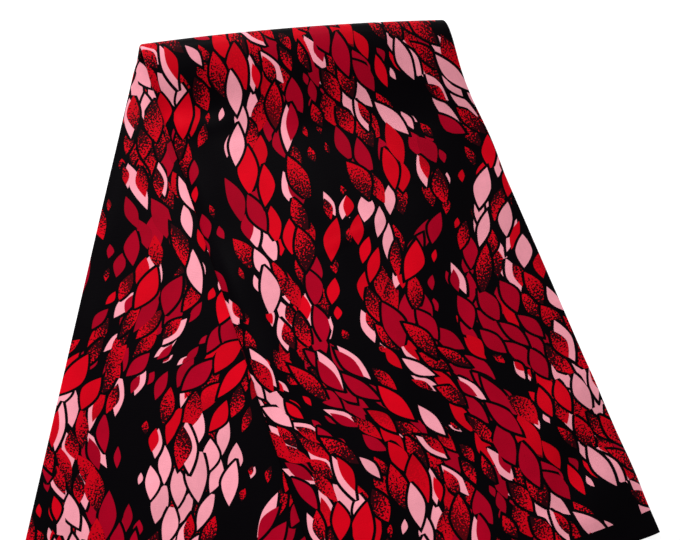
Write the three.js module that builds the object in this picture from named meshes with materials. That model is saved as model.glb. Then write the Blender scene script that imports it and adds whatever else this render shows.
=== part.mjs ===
// A cut length of wax-print cotton, lying on a surface.
// It is folded lengthwise in three into a band, with both long edges soft folds. The band is folded over
// at its far end in a round loop, and its two halves lie fanned apart, the upper half to the right.
// Millimetres, +Z up. The surface that it lies on is z = 0, and +Y is the far end.
import * as THREE from 'three';

// Driving dimensions
const CLOTH_WIDTH = 1155;       // selvedge to selvedge, which runs along the band
const BAND_WIDTH = 264;         // across the folded band, from fold to fold
const BAND_SPREAD = 11;         // the upper half is this much wider at its selvedge
const UPPER_LENGTH = 498;       // along the band's middle, from the loop's crest to the upper selvedge
const SHEET = 1.2;              // one layer
const LAYER_GAP = 0.6;          // between layers in the band
const HALF_GAP = 1.0;           // between the lower half and the upper half on it
const FREE_EDGE_INSET = 7;      // from a fold to the cut edge that is tucked in beside it

// How the band is folded over
const FOLD_LINE_SLOPE = THREE.MathUtils.degToRad(4.9);
const FAN_HALF_ANGLE = THREE.MathUtils.degToRad(14.75);
const LOOP_RADIUS = 12;         // to the middle layer
const LOOP_RUN = 82;            // the upper half comes down from the loop over this distance
const FAR_BOW = 4;              // the far fold bows out by this much at its middle
const BOW_REACH = 140;          // the bow dies out over this distance from the loop
const STEP_START = 8;           // past the lower half's edge, where the upper half starts to come down
const STEP_RUN = 62;            // and the distance over which it reaches the surface

// Soft buckles of the upper half: along the band from the crest and across it from its middle, half sizes,
// the way each one runs, and its height
const BUCKLES = [
  { along: 385, across: 100, length: 62, width: 31, turn: -55, height: 4.0 },
  { along: 455, across: 112, length: 62, width: 33, turn: -52, height: 4.6 },
  { along: 150, across: -20, length: 95, width: 24, turn: 12, height: 2.2 },
  { along: 265, across: -112, length: 110, width: 20, turn: 2, height: 1.6 },
];

// Steps of the mesh
const LAYER_STEPS = 14;
const NARROW_FOLD_STEPS = 4;
const WIDE_FOLD_STEPS = 6;
const LOOP_STEPS = 12;
const UPPER_STEPS = 22;
const LOWER_STEPS = 5;

// Worked out from these
const PITCH = SHEET + LAYER_GAP;
const BAND_DEPTH = 2 * PITCH + SHEET;
const LOWER_LENGTH = CLOTH_WIDTH - UPPER_LENGTH;
const LOOP_ARC = Math.PI * LOOP_RADIUS;
const FAN_SIN = Math.sin(FAN_HALF_ANGLE);
const FAN_COS = Math.cos(FAN_HALF_ANGLE);
const FAN_TAN = Math.tan(FAN_HALF_ANGLE);
const REST_ON_FLOOR = BAND_DEPTH / 2;
const REST_ON_LOWER = BAND_DEPTH + HALF_GAP + BAND_DEPTH / 2;
const CREST = REST_ON_FLOOR + 2 * LOOP_RADIUS;

const clamp01 = (value) => Math.min(Math.max(value, 0), 1);

// An even rise from 0 to 1 with level ends.
function ease(value) {
  const step = clamp01(value);
  return step * step * (3 - 2 * step);
}

// A round bump that is 1 at its middle and 0 from a distance of 1 on.
function bump(distance) {
  const inside = clamp01(1 - distance * distance);
  return inside * inside;
}

// Height of the buckles at a place on the band.
function buckleHeight(along, across) {
  let height = 0;
  for (const buckle of BUCKLES) {
    const turn = THREE.MathUtils.degToRad(buckle.turn);
    const alongOffset = along - buckle.along;
    const acrossOffset = across - buckle.across;
    const lengthwise = alongOffset * Math.cos(turn) + acrossOffset * Math.sin(turn);
    const sideways = acrossOffset * Math.cos(turn) - alongOffset * Math.sin(turn);
    height += buckle.height * bump(Math.hypot(lengthwise / buckle.length, sideways / buckle.width));
  }
  return height;
}

// Height at which the upper half lies: on the lower half, then down to the surface past that half's
// right edge.
function restHeight(foldwise, ahead) {
  const pastEdge = foldwise * FAN_COS - BAND_WIDTH / 2 + (ahead + LOOP_ARC) * FAN_SIN;
  const down = ease((pastEdge - STEP_START) / STEP_RUN);
  return REST_ON_LOWER + (REST_ON_FLOOR - REST_ON_LOWER) * down;
}

// The band's middle layer. A place on the band is given along it from the loop's crest, the upper half
// positive, and across it from its middle. The band bends only about lines that run along the far fold:
// x runs along that fold, y runs ahead of it towards the near end, and z is up.
function middleLayer(along, across) {
  const foldwise = along * FAN_SIN + across * FAN_COS;
  const round = along * FAN_COS - across * FAN_SIN;
  const fromLoop = Math.max(round, -LOOP_ARC - round, 0);
  const bowShape = 1 - (2 * foldwise / BAND_WIDTH) ** 2;
  const bow = FAR_BOW * bowShape * (1 - ease(fromLoop / BOW_REACH));
  if (round >= 0) {
    const rest = restHeight(foldwise, round) + buckleHeight(along, across);
    const lift = (CREST - rest) * (1 - ease(round / LOOP_RUN));
    return new THREE.Vector3(foldwise, round - bow, rest + lift);
  }
  if (round > -LOOP_ARC) {
    const angle = -round / LOOP_RADIUS;
    const ahead = -LOOP_RADIUS * Math.sin(angle);
    const height = REST_ON_FLOOR + LOOP_RADIUS * (1 + Math.cos(angle));
    return new THREE.Vector3(foldwise, ahead - bow, height);
  }
  return new THREE.Vector3(foldwise, -LOOP_ARC - round - bow, REST_ON_FLOOR);
}

// The way out of the band's face, from the slopes of the middle layer.
function faceNormal(along, across) {
  const nudge = 0.05;
  const alongStep = middleLayer(along + nudge, across).sub(middleLayer(along - nudge, across));
  const acrossStep = middleLayer(along, across + nudge).sub(middleLayer(along, across - nudge));
  return acrossStep.cross(alongStep).normalize();
}

// A point of the cloth: a place on the band, raised from its middle layer, and turned so that the far fold
// slopes.
function clothPoint(along, across, raised) {
  const spread = BAND_SPREAD * clamp01(along / UPPER_LENGTH) * (across / BAND_WIDTH + 0.5);
  const point = middleLayer(along, across + spread);
  point.addScaledVector(faceNormal(along, across + spread), raised);
  const x = point.x * Math.cos(FOLD_LINE_SLOPE) + point.y * Math.sin(FOLD_LINE_SLOPE);
  const y = point.x * Math.sin(FOLD_LINE_SLOPE) - point.y * Math.cos(FOLD_LINE_SLOPE);
  return new THREE.Vector3(x, y, point.z);
}

// The three layers as one line across the band: the tucked-in layer, the right fold, the face, the left
// fold, and the back layer. Each point has its place across, its height, and the way out of the sheet.
function layerLine() {
  const line = [];
  const halfWidth = BAND_WIDTH / 2;
  const narrowCentre = halfWidth - PITCH / 2 - SHEET / 2;
  const wideCentre = -halfWidth + PITCH + SHEET / 2;
  const tuckedEnd = wideCentre + FREE_EDGE_INSET;
  const backEnd = narrowCentre - FREE_EDGE_INSET;

  function addLayer(start, end, height, out) {
    for (let step = 0; step <= LAYER_STEPS; step += 1) {
      const across = start + (end - start) * step / LAYER_STEPS;
      line.push({ across, height, outAcross: 0, outHeight: out });
    }
  }

  function addFold(centre, centreHeight, radius, startAngle, steps) {
    for (let step = 1; step < steps; step += 1) {
      const angle = startAngle + Math.PI * step / steps;
      const outAcross = Math.cos(angle);
      const outHeight = Math.sin(angle);
      line.push({
        across: centre + radius * outAcross,
        height: centreHeight + radius * outHeight,
        outAcross,
        outHeight,
      });
    }
  }

  addLayer(tuckedEnd, narrowCentre, 0, -1);
  addFold(narrowCentre, PITCH / 2, PITCH / 2, -Math.PI / 2, NARROW_FOLD_STEPS);
  addLayer(narrowCentre, wideCentre, PITCH, 1);
  addFold(wideCentre, 0, PITCH, Math.PI / 2, WIDE_FOLD_STEPS);
  addLayer(wideCentre, backEnd, -PITCH, -1);
  return line;
}

// Stations along the band, from the lower selvedge round the loop to the upper one. Each gives the place
// along the band for a place across it: square to the band at the selvedges, in line with the far fold
// at the loop.
function bandStations() {
  const stations = [];
  const loopBottom = (across) => (across * FAN_SIN - LOOP_ARC) / FAN_COS;
  for (let step = 0; step < LOWER_STEPS; step += 1) {
    const share = step / LOWER_STEPS;
    stations.push((across) => -LOWER_LENGTH + (loopBottom(across) + LOWER_LENGTH) * share);
  }
  for (let step = 0; step < LOOP_STEPS; step += 1) {
    const round = -LOOP_ARC * (1 - step / LOOP_STEPS);
    stations.push((across) => (round + across * FAN_SIN) / FAN_COS);
  }
  for (let step = 0; step <= UPPER_STEPS; step += 1) {
    const share = step / UPPER_STEPS;
    stations.push((across) => across * FAN_TAN + (UPPER_LENGTH - across * FAN_TAN) * share);
  }
  return stations;
}

// One closed shell: both faces of the sheet over all stations, its two cut edges and its two selvedges.
function clothGeometry() {
  const line = layerLine();
  const stations = bandStations();
  const positions = [];
  for (const station of stations) {
    for (const spot of line) {
      for (const side of [SHEET / 2, -SHEET / 2]) {
        const across = spot.across + spot.outAcross * side;
        const point = clothPoint(station(across), across, spot.height + spot.outHeight * side);
        positions.push(point.x, point.y, point.z);
      }
    }
  }

  const triangles = [];
  const addQuad = (a, b, c, d) => triangles.push(a, b, c, a, c, d);
  const corner = (station, spot, side) => (station * line.length + spot) * 2 + side;
  const lastStation = stations.length - 1;
  const lastSpot = line.length - 1;
  for (let j = 0; j < lastStation; j += 1) {
    for (let i = 0; i < lastSpot; i += 1) {
      addQuad(corner(j, i, 0), corner(j, i + 1, 0), corner(j + 1, i + 1, 0), corner(j + 1, i, 0));
      addQuad(corner(j, i, 1), corner(j + 1, i, 1), corner(j + 1, i + 1, 1), corner(j, i + 1, 1));
    }
    addQuad(corner(j, 0, 0), corner(j + 1, 0, 0), corner(j + 1, 0, 1), corner(j, 0, 1));
    addQuad(
      corner(j, lastSpot, 0),
      corner(j, lastSpot, 1),
      corner(j + 1, lastSpot, 1),
      corner(j + 1, lastSpot, 0),
    );
  }
  for (let i = 0; i < lastSpot; i += 1) {
    addQuad(corner(0, i, 0), corner(0, i, 1), corner(0, i + 1, 1), corner(0, i + 1, 0));
    addQuad(
      corner(lastStation, i, 0),
      corner(lastStation, i + 1, 0),
      corner(lastStation, i + 1, 1),
      corner(lastStation, i, 1),
    );
  }

  const geometry = new THREE.BufferGeometry();
  geometry.setAttribute('position', new THREE.Float32BufferAttribute(positions, 3));
  geometry.setIndex(triangles);
  geometry.computeBoundingBox();
  const middle = geometry.boundingBox.getCenter(new THREE.Vector3());
  geometry.translate(-middle.x, -middle.y, -geometry.boundingBox.min.z);
  geometry.computeVertexNormals();
  return geometry;
}

const printedCotton = new THREE.MeshStandardMaterial({ color: 0x8f0d20, roughness: 0.85, metalness: 0 });

const cloth = new THREE.Mesh(clothGeometry(), printedCotton);
cloth.name = 'cloth';

const fabric = new THREE.Group();
fabric.add(cloth);

export default fabric;
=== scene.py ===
# A length of leaf-printed cotton, folded into a band, folded over at its far end and laid down.
import functools
import math

import bpy
import numpy as np
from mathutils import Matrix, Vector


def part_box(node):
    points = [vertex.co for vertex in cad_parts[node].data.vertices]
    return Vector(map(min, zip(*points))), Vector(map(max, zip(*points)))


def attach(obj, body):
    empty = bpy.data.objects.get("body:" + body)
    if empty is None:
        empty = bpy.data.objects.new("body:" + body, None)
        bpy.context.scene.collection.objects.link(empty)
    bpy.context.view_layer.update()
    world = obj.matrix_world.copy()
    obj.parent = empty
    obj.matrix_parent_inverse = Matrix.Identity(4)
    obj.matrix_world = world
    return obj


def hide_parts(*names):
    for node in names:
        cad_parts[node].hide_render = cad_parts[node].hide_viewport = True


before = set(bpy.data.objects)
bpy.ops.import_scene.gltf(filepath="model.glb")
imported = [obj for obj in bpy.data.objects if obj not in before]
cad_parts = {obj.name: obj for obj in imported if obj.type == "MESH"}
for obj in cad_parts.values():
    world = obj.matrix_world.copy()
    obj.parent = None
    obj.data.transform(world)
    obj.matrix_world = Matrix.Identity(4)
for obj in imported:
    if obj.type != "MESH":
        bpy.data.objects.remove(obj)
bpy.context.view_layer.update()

# The view
# The cloth is seen from above its near end, a little off the plumb line, so that the far fold
# stands at the top of the picture and the near ends run out of it at the bottom.
VIEW_TARGET = (0.0115, 0.103, 0.0)
VIEW_DISTANCE = 0.880
VIEW_OFF_PLUMB = math.radians(12.0)
VIEW_LENS = 53.6
SENSOR_WIDTH = 36.0
NEAREST_SEEN = 0.01

camera_data = bpy.data.cameras.new("camera")
camera_data.lens = VIEW_LENS
camera_data.sensor_width = SENSOR_WIDTH
camera_data.clip_start = NEAREST_SEEN
camera = bpy.data.objects.new("camera", camera_data)
camera.location = (
    VIEW_TARGET[0],
    VIEW_TARGET[1] - VIEW_DISTANCE * math.sin(VIEW_OFF_PLUMB),
    VIEW_TARGET[2] + VIEW_DISTANCE * math.cos(VIEW_OFF_PLUMB),
)
camera.rotation_euler = (VIEW_OFF_PLUMB, 0.0, 0.0)
bpy.context.scene.collection.objects.link(camera)
bpy.context.scene.camera = camera
bpy.context.scene.view_settings.view_transform = "Standard"

# The cloth
# One cut length of plain-woven cotton, dyed through so that both faces show the print. It is folded
# lengthwise in three into a band with soft edges, and the band is folded over in a round loop at its
# far end. The lower half lies flat, and the upper half lies on it and beside it.
MILLIMETRE = 0.001  # metres in a millimetre: the sizes below are in millimetres
CLOTH_WIDTH = 1155.0  # from selvedge to selvedge, along the band
BAND_WIDTH = 264.0  # from fold to fold
BAND_SPREAD = 11.0  # the upper half is this much wider at its selvedge
UPPER_LENGTH = 498.0  # from the loop's crest to the upper selvedge
BAND_DEPTH = 4.8  # three layers and the gaps between them
HALF_GAP = 1.0  # between the lower half and the upper half on it
FREE_EDGE_INSET = 7.0  # from a fold to the cut edge that is tucked in beside it
FOLD_LINE_SLOPE = math.radians(4.9)
FAN_HALF_ANGLE = math.radians(14.75)
LOOP_RADIUS = 12.0
LOOP_RUN = 82.0  # the upper half comes down from the loop over this distance
FAR_BOW = 4.0  # the far fold bows out by this much at its middle
BOW_REACH = 140.0
STEP_START = 8.0  # past the lower half's edge, where the upper half starts to come down
STEP_RUN = 62.0
YARN_DEPTH = 0.5  # one layer

LOWER_LENGTH = CLOTH_WIDTH - UPPER_LENGTH
LOOP_ARC = math.pi * LOOP_RADIUS
FAN_SIN = math.sin(FAN_HALF_ANGLE)
FAN_COS = math.cos(FAN_HALF_ANGLE)
FAN_TAN = math.tan(FAN_HALF_ANGLE)
REST_ON_FLOOR = BAND_DEPTH / 2
REST_ON_LOWER = BAND_DEPTH + HALF_GAP + BAND_DEPTH / 2
CREST = REST_ON_FLOOR + 2 * LOOP_RADIUS
FACE_HEIGHT = (BAND_DEPTH - YARN_DEPTH) / 2

# Soft buckles and creases of the upper half: along the band from the loop's crest, across it from its
# middle, half length, half width, the way it runs in degrees, and its height, which counts in full
# only where the band has come down from the loop.
BUCKLES = (
    (385.0, 100.0, 62.0, 31.0, -55.0, 4.0),
    (455.0, 112.0, 62.0, 33.0, -52.0, 4.6),
    (150.0, -20.0, 95.0, 24.0, 12.0, 2.2),
    (265.0, -112.0, 110.0, 20.0, 2.0, 1.6),
    (16.0, -105.0, 29.0, 62.0, -14.75, -9.0),
    (48.0, -22.0, 52.0, 8.0, -23.0, 1.1),
    (178.0, -6.0, 50.0, 7.0, 100.0, 0.9),
    (70.0, 98.0, 52.0, 10.0, 58.0, 1.3),
    (118.0, 110.0, 44.0, 9.0, 34.0, 1.2),
    (132.0, 52.0, 80.0, 11.0, 36.0, 0.9),
    (300.0, 18.0, 95.0, 12.0, 14.0, 1.0),
    (372.0, -58.0, 85.0, 12.0, -10.0, 1.1),
    (428.0, 70.0, 52.0, 10.0, -40.0, 1.2),
    (462.0, 62.0, 56.0, 11.0, 74.0, 1.2),
)

# Where a folded edge is pulled in, or let out: its side, distance past the crest, half length, and how far.
EDGE_PULLS = (
    (1.0, 38.0, 40.0, 2.6),
    (1.0, 98.0, 38.0, -1.6),
    (-1.0, -8.0, 40.0, 2.0),
)

# Soft rolls along the folded edges: the distances from the edge over which each rises and falls again.
LEFT_ROLL = (11.0, 34.0)
RIGHT_ROLL = (8.0, 26.0)
LEFT_ROLL_HEIGHT = 3.6
RIGHT_ROLL_HEIGHT = 1.8
LOWER_ROLL_HEIGHT = 1.6
ROLL_START = 6.0  # past the loop, where the rolls start to grow
ROLL_RUN = 60.0
ROLL_WAVES = ((0.30, 31.0, 0.8), (0.18, 13.0, 0.0))  # share, length of a radian, and start
NEAR_END = (330.0, 150.0)  # where the right roll starts to grow towards the near end, and over what run
NEAR_END_GROWTH = 0.8


def rise(value):
    """An even rise from 0 to 1 with level ends: 3 x squared less 2 x cubed."""
    step = np.clip(value, 0.0, 1.0)
    return step * step * (3.0 - 2.0 * step)


def round_bump(distance_squared):
    """A round bump that ends at a distance of 1: (1 - d squared) squared."""
    return np.clip(1.0 - distance_squared, 0.0, 1.0) ** 2


def past_crest(along, across):
    """Distance past the loop's crest, square to the far fold."""
    return along * FAN_COS - across * FAN_SIN


def buckle_height(along, across):
    """Sum of round bumps, where d is the distance from the bump's middle in units of its half length
    and half width, turned the way it runs."""
    height = np.zeros_like(along)
    for mid_along, mid_across, half_length, half_width, turn, top in BUCKLES:
        ahead = along - mid_along
        aside = across - mid_across
        way = math.radians(turn)
        lengthwise = (ahead * math.cos(way) + aside * math.sin(way)) / half_length
        sideways = (aside * math.cos(way) - ahead * math.sin(way)) / half_width
        height += top * round_bump(lengthwise**2 + sideways**2)
    return height


def band_middle(along, across):
    """Middle of the band. The place along the band and across it is split into a part along the far
    fold and a part round it. The part round it runs level on the lower half, half a turn round the
    loop, and down from the crest to where the upper half lies."""
    foldwise = along * FAN_SIN + across * FAN_COS
    turned = past_crest(along, across)
    angle = np.clip(-turned / LOOP_RADIUS, 0.0, math.pi)
    beyond = np.maximum(-LOOP_ARC - turned, 0.0)
    ahead = np.maximum(turned, 0.0) + beyond - LOOP_RADIUS * np.sin(angle)
    from_loop = np.maximum(np.maximum(turned, 0.0), beyond)
    bow = FAR_BOW * (1.0 - (2.0 * foldwise / BAND_WIDTH) ** 2) * (1.0 - rise(from_loop / BOW_REACH))
    past_edge = foldwise * FAN_COS - BAND_WIDTH / 2 + (ahead + LOOP_ARC) * FAN_SIN
    step_down = rise((past_edge - STEP_START) / STEP_RUN)
    rest = REST_ON_LOWER + (REST_ON_FLOOR - REST_ON_LOWER) * step_down + buckle_height(along, across)
    upper = rest + (CREST - rest) * (1.0 - rise(turned / LOOP_RUN))
    loop = REST_ON_FLOOR + LOOP_RADIUS * (1.0 + np.cos(angle))
    height = np.where(turned >= 0.0, upper, loop)
    return np.stack([foldwise, ahead - bow, height], axis=-1)


def drawn_in(along, across):
    """How far the folded edges are pulled in near the loop, and let out just after it: round bumps
    along the band, with a share that rises from the band's middle to its edge."""
    turned = past_crest(along, across)
    share = rise(np.abs(across) / (BAND_WIDTH / 2))
    pull = np.zeros_like(along)
    for side, mid, half_length, most in EDGE_PULLS:
        bump = round_bump(((turned - mid) / half_length) ** 2)
        pull += side * most * bump * np.where(side * across > 0.0, share, 0.0)
    return pull


def band_surface(along, across, raised):
    """A point at a height over the band's middle, along the cross product of the band's two slopes,
    then turned about the plumb line so that the far fold slopes. The place across the band is first
    spread towards the upper selvedge and drawn in at the edges."""
    spread = BAND_SPREAD * np.clip(along / UPPER_LENGTH, 0.0, 1.0) * (across / BAND_WIDTH + 0.5)
    across = across + spread - drawn_in(along, across)
    nudge = 0.05
    along_slope = band_middle(along + nudge, across) - band_middle(along - nudge, across)
    across_slope = band_middle(along, across + nudge) - band_middle(along, across - nudge)
    out = np.cross(across_slope, along_slope)
    out /= np.linalg.norm(out, axis=-1, keepdims=True)
    point = band_middle(along, across) + out * raised[..., None]
    x = point[..., 0] * math.cos(FOLD_LINE_SLOPE) + point[..., 1] * math.sin(FOLD_LINE_SLOPE)
    y = point[..., 0] * math.sin(FOLD_LINE_SLOPE) - point[..., 1] * math.cos(FOLD_LINE_SLOPE)
    return np.stack([x, y, point[..., 2]], axis=-1)


def layer_line():
    """One line across the band through its layers, as places across it and heights: the tucked-in
    layer, half a turn round the right fold, the face, half a turn round the left fold, and the back
    layer. Two shares tell how far each spot belongs to the face and to the back layer."""
    tucked_steps, face_steps, back_steps = 20, 62, 58
    narrow_steps, wide_steps = 8, 10
    narrow_radius = FACE_HEIGHT / 2
    narrow_middle = BAND_WIDTH / 2 - narrow_radius
    wide_middle = -BAND_WIDTH / 2 + FACE_HEIGHT
    narrow_turn = np.linspace(-math.pi / 2, math.pi / 2, narrow_steps + 1)[1:-1]
    wide_turn = np.linspace(math.pi / 2, 3 * math.pi / 2, wide_steps + 1)[1:-1]
    across = np.concatenate([
        np.linspace(wide_middle + FREE_EDGE_INSET, narrow_middle, tucked_steps + 1),
        narrow_middle + narrow_radius * np.cos(narrow_turn),
        np.linspace(narrow_middle, wide_middle, face_steps + 1),
        wide_middle + FACE_HEIGHT * np.cos(wide_turn),
        np.linspace(wide_middle, narrow_middle - FREE_EDGE_INSET, back_steps + 1),
    ])
    height = np.concatenate([
        np.zeros(tucked_steps + 1),
        narrow_radius + narrow_radius * np.sin(narrow_turn),
        np.full(face_steps + 1, FACE_HEIGHT),
        FACE_HEIGHT * np.sin(wide_turn),
        np.full(back_steps + 1, -FACE_HEIGHT),
    ])
    face_share = np.concatenate([
        np.zeros(tucked_steps + 1),
        (1.0 + np.sin(narrow_turn)) / 2,
        np.ones(face_steps + 1),
        (1.0 + np.sin(wide_turn)) / 2,
        np.zeros(back_steps + 1),
    ])
    back_share = np.concatenate([
        np.zeros(tucked_steps + narrow_steps + face_steps + 1),
        (1.0 - np.sin(wide_turn)) / 2,
        np.ones(back_steps + 1),
    ])
    return across, height, face_share, back_share


def edge_roll(from_edge, rising, falling):
    """A rise over the first few millimetres from a folded edge and a longer fall behind it."""
    return rise(from_edge / rising) * (1.0 - rise((from_edge - rising) / falling))


def soft_rolls(along, across, face_share, back_share):
    """Extra height of the layer that shows, where the folded edges stay soft: a roll along each edge,
    waved along the band, that dies out towards the loop. The right roll grows towards the near end."""
    turned = past_crest(along, across)
    upper = rise((turned - ROLL_START) / ROLL_RUN)
    lower = rise((-LOOP_ARC - turned - ROLL_START) / ROLL_RUN)
    left = edge_roll(across + BAND_WIDTH / 2, *LEFT_ROLL)
    right = edge_roll(BAND_WIDTH / 2 - across, *RIGHT_ROLL)
    swell = 1.0 + sum(share * np.sin(along / radian + start) for share, radian, start in ROLL_WAVES)
    start, run = NEAR_END
    near_end = 1.0 + NEAR_END_GROWTH * rise((along - start) / run)
    face = face_share * upper * swell * (LEFT_ROLL_HEIGHT * left + RIGHT_ROLL_HEIGHT * near_end * right)
    back = back_share * lower * swell * LOWER_ROLL_HEIGHT * left
    return face - back


def stations(across):
    """Places along the band, one row for each station: square to the band at the selvedges, in line
    with the far fold at the loop, and shared out evenly between."""
    lower_steps, loop_steps, upper_steps = 110, 34, 160
    loop_bottom = (across * FAN_SIN - LOOP_ARC) / FAN_COS
    crest = across * FAN_TAN
    lower_share = np.arange(lower_steps)[:, None] / lower_steps
    loop_share = np.arange(loop_steps)[:, None] / loop_steps
    upper_share = np.arange(upper_steps + 1)[:, None] / upper_steps
    return np.concatenate([
        -LOWER_LENGTH + (loop_bottom + LOWER_LENGTH) * lower_share,
        loop_bottom + (crest - loop_bottom) * loop_share,
        crest + (UPPER_LENGTH - crest) * upper_share,
    ])


line_across, line_height, face_share, back_share = layer_line()
along = stations(line_across[None, :])
across = np.broadcast_to(line_across, along.shape)
raised = line_height + soft_rolls(along, across, face_share, back_share)
points = band_surface(along, across, raised)

# The band's plain outer faces show where the solid's box has its middle.
PLAIN_SPOTS = 60
plain_across = np.linspace(-BAND_WIDTH / 2, BAND_WIDTH / 2, PLAIN_SPOTS)[None, :]
plain_along = stations(plain_across)
plain_spread = np.broadcast_to(plain_across, plain_along.shape)
faces = [
    band_surface(plain_along, plain_spread, np.full(plain_along.shape, side * BAND_DEPTH / 2))
    for side in (-1.0, 1.0)
]
solid = np.concatenate([face.reshape(-1, 3) for face in faces])
low, high = (np.array(corner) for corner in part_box("cloth"))
middle = (solid.min(axis=0) + solid.max(axis=0)) / 2
middle[2] = 0.0
points = (points - middle) * MILLIMETRE
points[..., :2] += (low + high)[:2] / 2

# Each spot's place on the cloth laid flat: how far along the line through the layers, and along the band.
line_run = np.hypot(np.diff(line_across), np.diff(line_height))
flat_across = np.concatenate([[0.0], np.cumsum(line_run)])
flat_along = along + LOWER_LENGTH

corner = np.arange(along.size).reshape(along.shape)
quads = np.stack(
    [corner[:-1, :-1], corner[:-1, 1:], corner[1:, 1:], corner[1:, :-1]], axis=-1
).reshape(-1, 4)
cloth_mesh = bpy.data.meshes.new("cloth_sheet")
cloth_mesh.from_pydata(points.reshape(-1, 3), [], quads)
flat = np.stack([np.broadcast_to(flat_across, along.shape), flat_along], axis=-1) * MILLIMETRE
flat_map = cloth_mesh.uv_layers.new(name="flat")
flat_map.uv.foreach_set("vector", flat.reshape(-1, 2)[quads.ravel()].astype(np.float32).ravel())
cloth_mesh.polygons.foreach_set("use_smooth", np.ones(len(quads), dtype=bool))
cloth_mesh.update()
cloth = bpy.data.objects.new("cloth_sheet", cloth_mesh)
bpy.context.scene.collection.objects.link(cloth)
thickness = cloth.modifiers.new("yarn", "SOLIDIFY")
thickness.thickness = YARN_DEPTH * MILLIMETRE
thickness.offset = 0.0

# Its print is of pointed leaves in red, crimson and pink, which run in wavy streams along the band on a
# near-black ground. It repeats three times from selvedge to selvedge. Its lengths are on the flat cloth.
REPEAT = 385.0
SELVEDGE_MARGIN = 19.0
RED = (0.62, 0.0004, 0.0090, 1.0)
CRIMSON = (0.365, 0.0002, 0.0140, 1.0)
PINK = (0.91, 0.335, 0.410, 1.0)
FLECK = (0.021, 0.0012, 0.0030, 1.0)
GROUND = (0.0012, 0.0007, 0.0014, 1.0)

# The streams: each wave's height, times in a repeat, shift from stream to stream, and start.
STREAM_PITCH = 84.0
STREAM_LEAN = 0.07
STREAM_WAVES = ((24.0, 1.0, 0.009, 5.2), (9.0, 2.0, -0.007, 2.4))
STREAM_STRENGTH = 1.75
STREAM_CLOUD = 2.2  # how much soft clouds and chance thicken or thin them
STREAM_CHANCE = 0.5
CLOUD_SIZES = (52.0, 41.0)

# A leaf: how it varies by chance, as spreads about a middle or as a least value and what is added to it.
LEAF_ROUNDNESS = 1.68
PAST_TIP = 1.6  # shapes are worked out to this many half lengths from a leaf's middle
PLACE_ACROSS, PLACE_ALONG = 0.18, 0.14  # in cells
TURN_SPREAD = 0.42
BEND_SPREAD = 0.8
LENGTH_LEAST, LENGTH_MORE = 0.82, 0.22
WIDTH_LEAST, WIDTH_MORE = 0.78, 0.40
SIZE_LEAST = 0.58  # at a stream's edge
FULL_SIZE_AT = 0.9
ZONE_SPLIT = 0.55  # between places with smaller and with larger leaves
HIDDEN = -40.0  # the distance inside a leaf's outline where there is no leaf

# Some leaves lie on a paler one.
PAIR_SHARE = 0.14
PAIR_ASIDE = 0.30  # how far each of the two moves aside, in half widths
PAIR_LENGTHWISE = 0.6
PAIR_LESS, PAIR_LESS_MORE = -0.10, -0.28  # how much smaller the upper leaf is
UNDER_WIDTH = 0.84
UNDER_SLANT = 0.5
PAIRED_ABOVE = -25.0  # a distance inside the lower leaf's outline that a single leaf doesn't reach

# Tones and flecks: how far clouds and chance spread them, and how the flecks gather.
TONE_CLOUD, TONE_CHANCE = 3.3, 0.45
SPECK_CLOUD, SPECK_CHANCE = 1.8, 0.9
DEPTH_LEAST, DEPTH_MORE = 0.84, 0.20
FLECKED_FROM, FLECKED_FULLY = 0.24, 0.34
FLECK_LEAST, FLECK_MORE = 0.44, 0.16
FLECK_TIPWARDS = 0.21
FLECK_SIDEWARDS = 0.13
FLECK_EDGE = 0.03
LEAF_EDGE = 0.2
RIMLESS_SHARE = 0.20

# Further chances are drawn from one by these factors, and the second three of a cell by a moved seed.
PAIR_DRAW, LENGTHWISE_DRAW, LESS_DRAW = 7.3, 9.7, 23.1
OWN_DRAW, TIP_DRAW, SIDE_DRAW = 5.7, 11.3, 17.9
SECOND_SEED = 0.37

# Sets of rows of leaves, lowest first. Fill and top are the stream values between which a leaf shows. Zone
# is -1 for the smaller leaves' places, 1 for the larger leaves' and 0 for all. Width and length are half
# sizes in cells, and rim is the dark rim's width. Leaves with a tone below the one value are pink, and
# above the other crimson.
LEAF_SET_COLUMNS = (
    "Pitch Across", "Rows", "Shift", "Seed", "Fill", "Top", "Zone", "Width", "Length",
    "Rim", "Pink Below", "Crimson Above",
)
LEAF_SETS = (
    (12.0, 19, 0.25, 3.0, -1.80, -1.25, 0.0, 0.36, 0.48, 1.8, 0.22, 0.95),
    (22.0, 10, 0.25, 7.0, -0.50, 9.0, 0.0, 0.37, 0.51, 2.2, -9.0, 0.54),
    (17.5, 12, 0.0, 11.0, -1.64, 9.0, -1.0, 0.362, 0.520, 2.3, 0.20, 0.85),
    (17.5, 12, 0.5, 17.0, -1.64, 9.0, -1.0, 0.362, 0.520, 2.3, 0.20, 0.85),
    (23.0, 9, 0.0, 23.0, -1.54, 9.0, 1.0, 0.354, 0.510, 2.4, 0.20, 0.85),
    (23.0, 9, 0.5, 29.0, -1.54, 9.0, 1.0, 0.354, 0.510, 2.4, 0.20, 0.85),
)

# The yarn and the dye: pattern scales in each metre, and how much they show.
FLECK_SCALE = 660.0
THREAD_SCALE = 1500.0
SLUB_SCALE = 110.0
DYE_SCALE = 55.0
DYE_LEAST, DYE_MORE = 0.79, 0.22
WEAVE_SHADE = 0.10
WEAVE_STRENGTH = 0.25
WEAVE_DEPTH = 0.0002
COTTON_ROUGHNESS = 0.56
COTTON_SHEEN = 0.025

FLOAT, VECTOR, COLOUR = "NodeSocketFloat", "NodeSocketVector", "NodeSocketColor"


def join(tree, value, socket):
    """Fills a socket with a link or a plain value."""
    if isinstance(value, bpy.types.NodeSocket):
        tree.links.new(value, socket)
    else:
        socket.default_value = value


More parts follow.
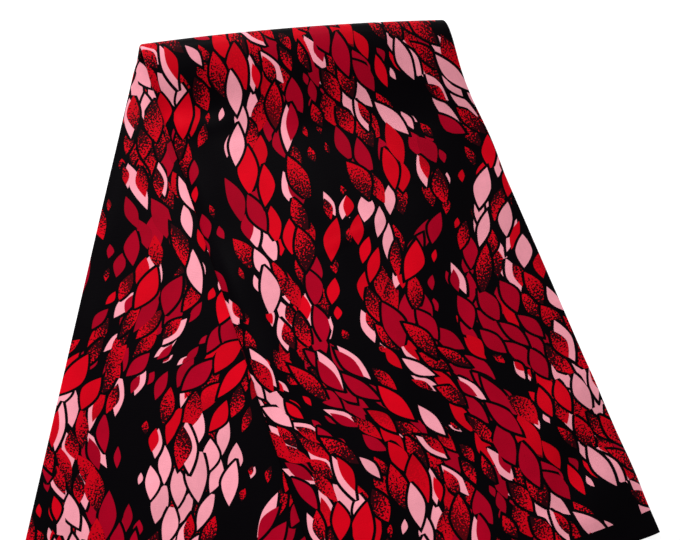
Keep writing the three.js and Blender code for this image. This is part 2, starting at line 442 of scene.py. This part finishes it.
def put(tree, kind, *inputs, **settings):
    """A new node with its settings, its inputs filled in order with links or plain values."""
    node = tree.nodes.new(kind)
    for name, value in settings.items():
        setattr(node, name, value)
    for socket, value in zip(node.inputs, inputs):
        join(tree, value, socket)
    return node


def calc(tree, operation, *terms):
    """The result of one sum or comparison."""
    return put(tree, "ShaderNodeMath", *terms, operation=operation).outputs[0]


def sums(tree):
    """The commonest sums of a tree: a product, a total, a difference, and a product plus a term."""
    kinds = ("MULTIPLY", "ADD", "SUBTRACT", "MULTIPLY_ADD")
    return [functools.partial(calc, tree, kind) for kind in kinds]


def soft_step(tree, value, low, high):
    """0 below low, 1 above high, with an even rise between."""
    node = put(tree, "ShaderNodeMapRange", value, low, high, interpolation_type="SMOOTHSTEP")
    return node.outputs[0]


def centred(tree, chance, spread):
    """A chance from 0 to 1 as a value to either side of 0."""
    return calc(tree, "MULTIPLY", calc(tree, "SUBTRACT", chance, 0.5), spread)


def another(tree, chance, factor):
    """Another chance out of one: what is after the point in a multiple of it."""
    return calc(tree, "FRACT", calc(tree, "MULTIPLY", chance, factor))


def mix(tree, share, first, second):
    """A colour between two."""
    node = tree.nodes.new("ShaderNodeMix")
    node.data_type = "RGBA"
    for index, value in ((0, share), (6, first), (7, second)):
        join(tree, value, node.inputs[index])
    return node.outputs[2]


def scaled_colour(tree, colour, share):
    """A colour made deeper or paler."""
    node = put(tree, "ShaderNodeVectorMath", colour, operation="SCALE")
    join(tree, share, node.inputs["Scale"])
    return node.outputs[0]


def noise(tree, place, scale, detail, dimensions="2D"):
    """The outputs of soft noise at a place."""
    node = put(tree, "ShaderNodeTexNoise", place, noise_dimensions=dimensions)
    node.inputs["Scale"].default_value = scale
    node.inputs["Detail"].default_value = detail
    return node.outputs


def new_group(name, inputs, outputs):
    """An empty shader node group with named sockets. Returns it with its inner input and output nodes."""
    tree = bpy.data.node_groups.new(name, "ShaderNodeTree")
    for in_out, sockets in (("INPUT", inputs), ("OUTPUT", outputs)):
        for label, kind in sockets.items():
            tree.interface.new_socket(label, in_out=in_out, socket_type=kind)
    return tree, tree.nodes.new("NodeGroupInput"), tree.nodes.new("NodeGroupOutput")


def place_group(tree, group, values):
    """The outputs of a group in a tree, with its named inputs filled with links or plain values."""
    node = put(tree, "ShaderNodeGroup", node_tree=group)
    for label, value in values.items():
        join(tree, value, node.inputs[label])
    return node.outputs


def stream_group():
    """How far the streams swing aside at a place on the cloth, as an even lean and a sum of sine waves
    that fit the repeat and start at a shifted place from stream to stream, and the swing's slope."""
    tree, given, result = new_group(
        "stream_swing", {"Across": FLOAT, "Along": FLOAT}, {"Swing": FLOAT, "Slope": FLOAT}
    )
    turn = calc(tree, "MULTIPLY", given.outputs["Along"], math.tau / REPEAT)
    swing = calc(tree, "MULTIPLY", given.outputs["Along"], STREAM_LEAN)
    slope = STREAM_LEAN
    for height, times, shift, start in STREAM_WAVES:
        phase = calc(tree, "MULTIPLY_ADD", turn, times, start)
        phase = calc(tree, "MULTIPLY_ADD", given.outputs["Across"], shift, phase)
        swing = calc(tree, "MULTIPLY_ADD", calc(tree, "SINE", phase), height, swing)
        rate = height * times * math.tau / REPEAT
        slope = calc(tree, "MULTIPLY_ADD", calc(tree, "COSINE", phase), rate, slope)
    join(tree, swing, result.inputs["Swing"])
    join(tree, slope, result.inputs["Slope"])
    return tree


def cell_chances(tree, cell_x, cell_y, pitch_along, seed):
    """Six chances for each cell, the same in every repeat."""
    rows = calc(tree, "ROUND", calc(tree, "DIVIDE", REPEAT, pitch_along))
    row = calc(tree, "FLOORED_MODULO", cell_y, rows)
    chances = []
    for more in (0.0, SECOND_SEED):
        at = put(tree, "ShaderNodeCombineXYZ", cell_x, row, calc(tree, "ADD", seed, more))
        draw = put(tree, "ShaderNodeTexWhiteNoise", at.outputs[0], noise_dimensions="3D")
        chances += list(put(tree, "ShaderNodeSeparateColor", draw.outputs["Color"]).outputs)
    return chances


def repeat_clouds(tree, across, along):
    """Soft clouds of noise that join up from repeat to repeat, because the place along the cloth is
    taken round a ring that is one repeat long."""
    ring = REPEAT / math.tau
    around = calc(tree, "MULTIPLY", along, math.tau / REPEAT)
    ring_x = calc(tree, "MULTIPLY", calc(tree, "COSINE", around), ring)
    ring_y = calc(tree, "MULTIPLY", calc(tree, "SINE", around), ring)
    at = put(tree, "ShaderNodeCombineXYZ", ring_x, ring_y, across).outputs[0]
    clouds = []
    for size in CLOUD_SIZES:
        cloud = noise(tree, at, 1.0 / size, detail=0.0, dimensions="3D")
        clouds += list(put(tree, "ShaderNodeSeparateColor", cloud["Color"]).outputs)
    return clouds


def leaf_shown(tree, source, middle_x, thick_cloud, zone_cloud, chance):
    """The distance that hides a leaf where it doesn't show, and its size, which falls towards its stream's
    edge. The streams are a cosine across the cloth that clouds and chance thicken or thin. A leaf shows
    where that is between its set's two values and the place is in its set's zone."""
    times, plus, minus, times_plus = sums(tree)
    stream = calc(tree, "COSINE", times(middle_x, math.tau / STREAM_PITCH))
    stream = times_plus(stream, STREAM_STRENGTH, centred(tree, thick_cloud, STREAM_CLOUD))
    stream = plus(stream, centred(tree, chance, STREAM_CHANCE))
    spare = minus(stream, source["Fill"])
    zone = times(minus(zone_cloud, ZONE_SPLIT), source["Zone"])
    just_below_none = -0.0001
    shown = calc(tree, "GREATER_THAN", spare, 0.0)
    shown = times(shown, calc(tree, "LESS_THAN", stream, source["Top"]))
    shown = times(shown, calc(tree, "GREATER_THAN", zone, just_below_none))
    hidden = times(minus(1.0, shown), HIDDEN)
    size = times_plus(soft_step(tree, spare, 0.0, FULL_SIZE_AT), 1.0 - SIZE_LEAST, SIZE_LEAST)
    return hidden, size


def leaf_half_sizes(tree, source, size, lean, length_chance, width_chance):
    """A leaf's half length and half width: shares of its cell, times its size, varied by chance. Where its
    stream leans, it is narrower by the cosine of the lean."""
    times, _, _, times_plus = sums(tree)
    half_length = times(times(source["Pitch Along"], source["Length"]), size)
    half_length = times(half_length, times_plus(length_chance, LENGTH_MORE, LENGTH_LEAST))
    half_width = times(times(source["Pitch Across"], source["Width"]), size)
    half_width = times(half_width, times_plus(width_chance, WIDTH_MORE, WIDTH_LEAST))
    return half_length, times(half_width, calc(tree, "COSINE", lean))


def leaf_tones(tree, tone_cloud, speck_cloud, tone_chance, speck_chance, pair):
    """A leaf's tone and its share of specks: a middle, moved by a cloud and by chance. The upper leaf of a
    pair has at least the middle tone, so that it isn't pink like the one under it."""
    _, plus, _, times_plus = sums(tree)
    middle, far_below = 0.5, 9.0
    tone = plus(centred(tree, tone_cloud, TONE_CLOUD), centred(tree, tone_chance, TONE_CHANCE))
    tone = plus(tone, middle)
    tone = calc(tree, "MAXIMUM", tone, times_plus(pair, far_below, middle - far_below))
    speck = plus(centred(tree, speck_cloud, SPECK_CLOUD), centred(tree, speck_chance, SPECK_CHANCE))
    return tone, plus(speck, middle)


def leaf_rows_group():
    """One set of rows of leaves. The cloth is cut into cells that follow the streams, with one leaf in
    each. A leaf is W (1 - |y / L| to the power of the roundness) wide to either side, W and L being its
    half width and half length. It lies along its stream, and its place, size, bend and turn vary a
    little by chance. Edge is the distance inside its outline."""
    tree, given, result = new_group(
        "leaf_rows",
        {
            "Flat": VECTOR, "Pitch Across": FLOAT, "Pitch Along": FLOAT, "Shift": FLOAT, "Seed": FLOAT,
            "Fill": FLOAT, "Top": FLOAT, "Zone": FLOAT, "Width": FLOAT, "Length": FLOAT,
        },
        {
            "Edge": FLOAT, "Under": FLOAT, "Tone": FLOAT, "Speck": FLOAT, "Along": FLOAT, "Side": FLOAT,
        },
    )
    source = given.outputs
    times, plus, minus, times_plus = sums(tree)
    swing_group = stream_group()

    def swing_at(across, along):
        """The streams' swing and slope at a place on the cloth."""
        found = place_group(tree, swing_group, {"Across": across, "Along": along})
        return found["Swing"], found["Slope"]

    def cell_number(place, pitch):
        """The number of the cell that a place falls in."""
        cells = times_plus(place, calc(tree, "DIVIDE", 1.0, pitch), source["Shift"])
        return calc(tree, "FLOOR", cells)

    def cell_middle(cell, pitch, chance, spread):
        """The middle of a cell, moved a little by chance."""
        off = minus(centred(tree, chance, spread), source["Shift"])
        return times(plus(plus(cell, 0.5), off), pitch)

    def reach_and_taper(share):
        """How far from a leaf's middle a share of its half length is, and how much of its width is left."""
        reach = calc(tree, "MINIMUM", calc(tree, "ABSOLUTE", share), PAST_TIP)
        return reach, minus(1.0, calc(tree, "POWER", reach, LEAF_ROUNDNESS))

    flat_place = put(tree, "ShaderNodeSeparateXYZ", source["Flat"]).outputs
    across_mm = times(flat_place[0], 1.0 / MILLIMETRE)
    along_mm = times(flat_place[1], 1.0 / MILLIMETRE)
    stream_mm = plus(across_mm, swing_at(across_mm, along_mm)[0])
    cell_x = cell_number(stream_mm, source["Pitch Across"])
    cell_y = cell_number(along_mm, source["Pitch Along"])
    shown_chance, width_chance, turn_chance, across_chance, along_chance, bend_chance = cell_chances(
        tree, cell_x, cell_y, source["Pitch Along"], source["Seed"]
    )

    # The leaf's middle, along its stream and, found in two steps, on the cloth.
    middle_x = cell_middle(cell_x, source["Pitch Across"], across_chance, PLACE_ACROSS)
    middle_y = cell_middle(cell_y, source["Pitch Along"], along_chance, PLACE_ALONG)
    guess = minus(middle_x, times(middle_y, STREAM_LEAN))
    for _ in range(2):
        swing, slope = swing_at(guess, middle_y)
        guess = minus(middle_x, swing)
    aside = minus(across_mm, guess)
    ahead = minus(along_mm, middle_y)
    lean = calc(tree, "ARCTANGENT", slope)

    # Clouds over the repeat thicken the streams and gather leaves of like size, tone and specks.
    thick_cloud, tone_cloud, speck_cloud, zone_cloud = repeat_clouds(tree, middle_x, middle_y)[:4]
    hidden, size = leaf_shown(tree, source, middle_x, thick_cloud, zone_cloud, shown_chance)

    # Its own frame, turned along the stream, and its half sizes.
    turn = plus(lean, centred(tree, turn_chance, TURN_SPREAD))
    turn_cos = calc(tree, "COSINE", turn)
    turn_sin = calc(tree, "SINE", turn)
    x = times_plus(aside, turn_cos, times(ahead, turn_sin))
    y = minus(times(ahead, turn_cos), times(aside, turn_sin))
    half_length, half_width = leaf_half_sizes(tree, source, size, lean, along_chance, width_chance)

    # The upper leaf of a pair is smaller and moves aside, and the paler one under it moves the other way.
    pair = calc(tree, "LESS_THAN", another(tree, shown_chance, PAIR_DRAW), PAIR_SHARE)
    way = times_plus(calc(tree, "GREATER_THAN", across_chance, 0.5), 2.0, -1.0)
    x_below, y_below, length_below = x, y, half_length
    width_below = times(half_width, UNDER_WIDTH)
    lengthwise = centred(tree, another(tree, width_chance, LENGTHWISE_DRAW), PAIR_LENGTHWISE)
    x = times_plus(times(half_width, times(way, pair)), PAIR_ASIDE, x)
    y = times_plus(times(half_length, pair), lengthwise, y)
    less = times_plus(another(tree, shown_chance, LESS_DRAW), PAIR_LESS_MORE, PAIR_LESS)
    smaller = times_plus(pair, less, 1.0)
    half_width = times(half_width, smaller)
    half_length = times(half_length, smaller)

    # The distance inside its outline, from the outline's own steepness. Its midline bows to one side at its
    # middle and as far to the other at its tips.
    share = calc(tree, "DIVIDE", y, half_length)
    reach, taper = reach_and_taper(share)
    body = times(half_width, taper)
    arch = times_plus(half_width, -0.5, body)
    bent = minus(x, times(centred(tree, bend_chance, BEND_SPREAD), arch))
    steepness = times(calc(tree, "POWER", reach, LEAF_ROUNDNESS - 1.0), LEAF_ROUNDNESS)
    steepness = times(steepness, calc(tree, "DIVIDE", half_width, half_length))
    steepness = calc(tree, "SQRT", times_plus(steepness, steepness, 1.0))
    edge = calc(tree, "DIVIDE", minus(body, calc(tree, "ABSOLUTE", bent)), steepness)
    edge = plus(edge, hidden)

    # The same for the leaf under it, which is turned a little.
    taper_below = reach_and_taper(calc(tree, "DIVIDE", y_below, length_below))[1]
    beside = times_plus(times(width_below, way), -PAIR_ASIDE, x_below)
    beside = times_plus(y_below, centred(tree, along_chance, UNDER_SLANT), beside)
    under = minus(times(width_below, taper_below), calc(tree, "ABSOLUTE", beside))
    under = calc(tree, "DIVIDE", under, steepness)
    under = times_plus(minus(1.0, pair), HIDDEN, plus(under, hidden))

    tone, speck = leaf_tones(tree, tone_cloud, speck_cloud, width_chance, turn_chance, pair)
    side = calc(tree, "DIVIDE", bent, half_width)
    for label, value in (
        ("Edge", edge), ("Under", under), ("Tone", tone), ("Speck", speck), ("Along", share), ("Side", side),
    ):
        join(tree, value, result.inputs[label])
    return tree


def leaf_colour_group():
    """Lays one set of leaves over what is below: a dark rim of the ground's colour, the paler leaf that
    peeps out from under, and the leaf itself in pink, red or crimson by its tone. Red leaves are flecked
    with dark specks that thicken towards one tip and one side."""
    tree, given, result = new_group(
        "leaf_colour",
        {
            "Below": COLOUR, "Edge": FLOAT, "Under": FLOAT, "Tone": FLOAT, "Speck": FLOAT, "Along": FLOAT,
            "Side": FLOAT, "Flecks": FLOAT, "Rim": FLOAT, "Pink Below": FLOAT, "Crimson Above": FLOAT,
        },
        {"Colour": COLOUR},
    )
    source = given.outputs
    times, plus, minus, times_plus = sums(tree)
    own, tip_chance, side_chance = (
        another(tree, source["Speck"], factor) for factor in (OWN_DRAW, TIP_DRAW, SIDE_DRAW)
    )
    pink = calc(tree, "LESS_THAN", source["Tone"], source["Pink Below"])
    crimson = calc(tree, "GREATER_THAN", source["Tone"], source["Crimson Above"])
    colour = mix(tree, pink, mix(tree, crimson, RED, CRIMSON), PINK)
    colour = scaled_colour(tree, colour, times_plus(own, DEPTH_MORE, DEPTH_LEAST))

    crowd = soft_step(tree, source["Speck"], FLECKED_FROM, FLECKED_FULLY)
    tip_way = calc(tree, "GREATER_THAN", tip_chance, 0.5)
    tipwards = times_plus(tip_way, 2.0 * FLECK_TIPWARDS, -FLECK_TIPWARDS)
    sidewards = times_plus(side_chance, 2.0 * FLECK_SIDEWARDS, -FLECK_SIDEWARDS)
    gather = times_plus(source["Along"], tipwards, times_plus(own, FLECK_MORE, FLECK_LEAST))
    gather = times_plus(source["Side"], sidewards, gather)
    fleck = soft_step(tree, minus(gather, source["Flecks"]), -FLECK_EDGE, FLECK_EDGE)
    fleck = times(fleck, crowd)
    fleck = times(fleck, minus(1.0, calc(tree, "MAXIMUM", pink, crimson)))
    colour = mix(tree, fleck, colour, FLECK)

    # Every pink or paired leaf has a rim, and most others.
    paired = calc(tree, "GREATER_THAN", source["Under"], PAIRED_ABOVE)
    rimmed = calc(tree, "GREATER_THAN", plus(plus(own, pink), paired), RIMLESS_SHARE)
    rim_reach = times(source["Rim"], rimmed)
    outermost = calc(tree, "MAXIMUM", source["Edge"], source["Under"])
    laid = source["Below"]
    for inside, shown in (
        (plus(outermost, rim_reach), GROUND), (source["Under"], PINK), (source["Edge"], colour),
    ):
        laid = mix(tree, soft_step(tree, inside, -LEAF_EDGE, LEAF_EDGE), laid, shown)
    join(tree, laid, result.inputs["Colour"])
    return tree


def printed_colour(tree, flat_uv):
    """The print: the ground, then each set of leaves over it, and the bare margin along each selvedge."""
    rows = leaf_rows_group()
    colours = leaf_colour_group()
    flecks = noise(tree, flat_uv, FLECK_SCALE, detail=1.0)["Fac"]
    colour = GROUND
    for leaf_set in LEAF_SETS:
        chosen = dict(zip(LEAF_SET_COLUMNS, leaf_set))
        shape = {"Flat": flat_uv, "Pitch Along": REPEAT / chosen["Rows"]}
        for label in ("Pitch Across", "Shift", "Seed", "Fill", "Top", "Zone", "Width", "Length"):
            shape[label] = chosen[label]
        leaves = place_group(tree, rows, shape)
        look = {"Below": colour, "Flecks": flecks}
        for label in ("Edge", "Under", "Tone", "Speck", "Along", "Side"):
            look[label] = leaves[label]
        for label in ("Rim", "Pink Below", "Crimson Above"):
            look[label] = chosen[label]
        colour = place_group(tree, colours, look)["Colour"]
    along_m = put(tree, "ShaderNodeSeparateXYZ", flat_uv).outputs[1]
    from_end = calc(tree, "MINIMUM", along_m, calc(tree, "SUBTRACT", CLOTH_WIDTH * MILLIMETRE, along_m))
    margin = calc(tree, "LESS_THAN", from_end, SELVEDGE_MARGIN * MILLIMETRE)
    return mix(tree, margin, colour, GROUND)


def cotton_material():
    """Printed plain-weave cotton: the print, then a slight unevenness of the dye, and the slubs of warp
    and weft as faint streaks and as a fine bump."""
    material = bpy.data.materials.new("printed_cotton")
    material.use_nodes = True
    tree = material.node_tree
    shader = tree.nodes["Principled BSDF"]
    flat_uv = put(tree, "ShaderNodeUVMap", uv_map="flat").outputs[0]
    colour = printed_colour(tree, flat_uv)
    streaks = []
    for stretch in ((THREAD_SCALE, SLUB_SCALE, 1.0), (SLUB_SCALE, THREAD_SCALE, 1.0)):
        scaled = put(tree, "ShaderNodeVectorMath", flat_uv, stretch, operation="MULTIPLY").outputs[0]
        streaks.append(noise(tree, scaled, scale=1.0, detail=1.0)["Fac"])
    weave = calc(tree, "ADD", *streaks)
    dye = noise(tree, flat_uv, DYE_SCALE, detail=3.0)["Fac"]
    depth = calc(tree, "MULTIPLY_ADD", dye, DYE_MORE, DYE_LEAST)
    depth = calc(tree, "MULTIPLY_ADD", weave, WEAVE_SHADE, depth)
    join(tree, scaled_colour(tree, colour, depth), shader.inputs["Base Color"])
    bump = put(tree, "ShaderNodeBump")
    bump.inputs["Strength"].default_value = WEAVE_STRENGTH
    bump.inputs["Distance"].default_value = WEAVE_DEPTH
    join(tree, weave, bump.inputs["Height"])
    join(tree, bump.outputs[0], shader.inputs["Normal"])
    shader.inputs["Roughness"].default_value = COTTON_ROUGHNESS
    shader.inputs["Specular IOR Level"].default_value = COTTON_SHEEN
    return material


cloth_mesh.materials.append(cotton_material())
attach(cloth, "root")
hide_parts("cloth")

# The floor
# A plain white sheet that the cloth lies on. It glows evenly, so that shadows on it stay faint, and far
# off its rim rises, so that it fills the view behind the cloth.
FLOOR_REACH = 6.0
RIM_REACH = 24.0
RIM_HEIGHT = 3.2
FLOOR_GREY = (0.4, 0.4, 0.4, 1.0)
FLOOR_ROUGHNESS = 0.9
FLOOR_GLOW = 0.82
WHITE = (1.0, 1.0, 1.0, 1.0)

floor_mesh = bpy.data.meshes.new("floor")
floor_corners = [
    (side_x * reach, side_y * reach, height)
    for reach, height in ((FLOOR_REACH, 0.0), (RIM_REACH, RIM_HEIGHT))
    for side_x, side_y in ((-1, -1), (1, -1), (1, 1), (-1, 1))
]
floor_quads = [(0, 1, 2, 3), (4, 5, 1, 0), (5, 6, 2, 1), (6, 7, 3, 2), (7, 4, 0, 3)]
floor_mesh.from_pydata(floor_corners, [], floor_quads)
floor = bpy.data.objects.new("floor", floor_mesh)
bpy.context.scene.collection.objects.link(floor)
floor_material = bpy.data.materials.new("white_floor")
floor_material.use_nodes = True
floor_shader = floor_material.node_tree.nodes["Principled BSDF"]
floor_shader.inputs["Base Color"].default_value = FLOOR_GREY
floor_shader.inputs["Roughness"].default_value = FLOOR_ROUGHNESS
floor_shader.inputs["Emission Color"].default_value = WHITE
floor_shader.inputs["Emission Strength"].default_value = FLOOR_GLOW
floor_mesh.materials.append(floor_material)

# The light
# One lamp with a soft-edged cone stands for a window beyond the far fold and to the left. It is
# brightest left of the cloth's middle, and a white room round it fills the shadows.
ROOM_STRENGTH = 0.38
WINDOW_PLACE = (-1.033, 2.622, 2.314)
WINDOW_TILT = math.radians(-50.0)
WINDOW_TURN = math.radians(20.0)
WINDOW_CONE = math.radians(16.5)
WINDOW_FADE = 1.0  # the light fades over the whole cone
WINDOW_SOFTNESS = 0.3
WINDOW_POWER = 675.0

world = bpy.data.worlds.new("room")
world.use_nodes = True
world.node_tree.nodes["Background"].inputs["Color"].default_value = WHITE
world.node_tree.nodes["Background"].inputs["Strength"].default_value = ROOM_STRENGTH
bpy.context.scene.world = world
window_data = bpy.data.lights.new("window", "SPOT")
window_data.shadow_soft_size = WINDOW_SOFTNESS
window_data.spot_size = WINDOW_CONE
window_data.spot_blend = WINDOW_FADE
window_data.energy = WINDOW_POWER
window = bpy.data.objects.new("window", window_data)
window.location = WINDOW_PLACE
window.rotation_euler = (WINDOW_TILT, 0.0, WINDOW_TURN)
bpy.context.scene.collection.objects.link(window)
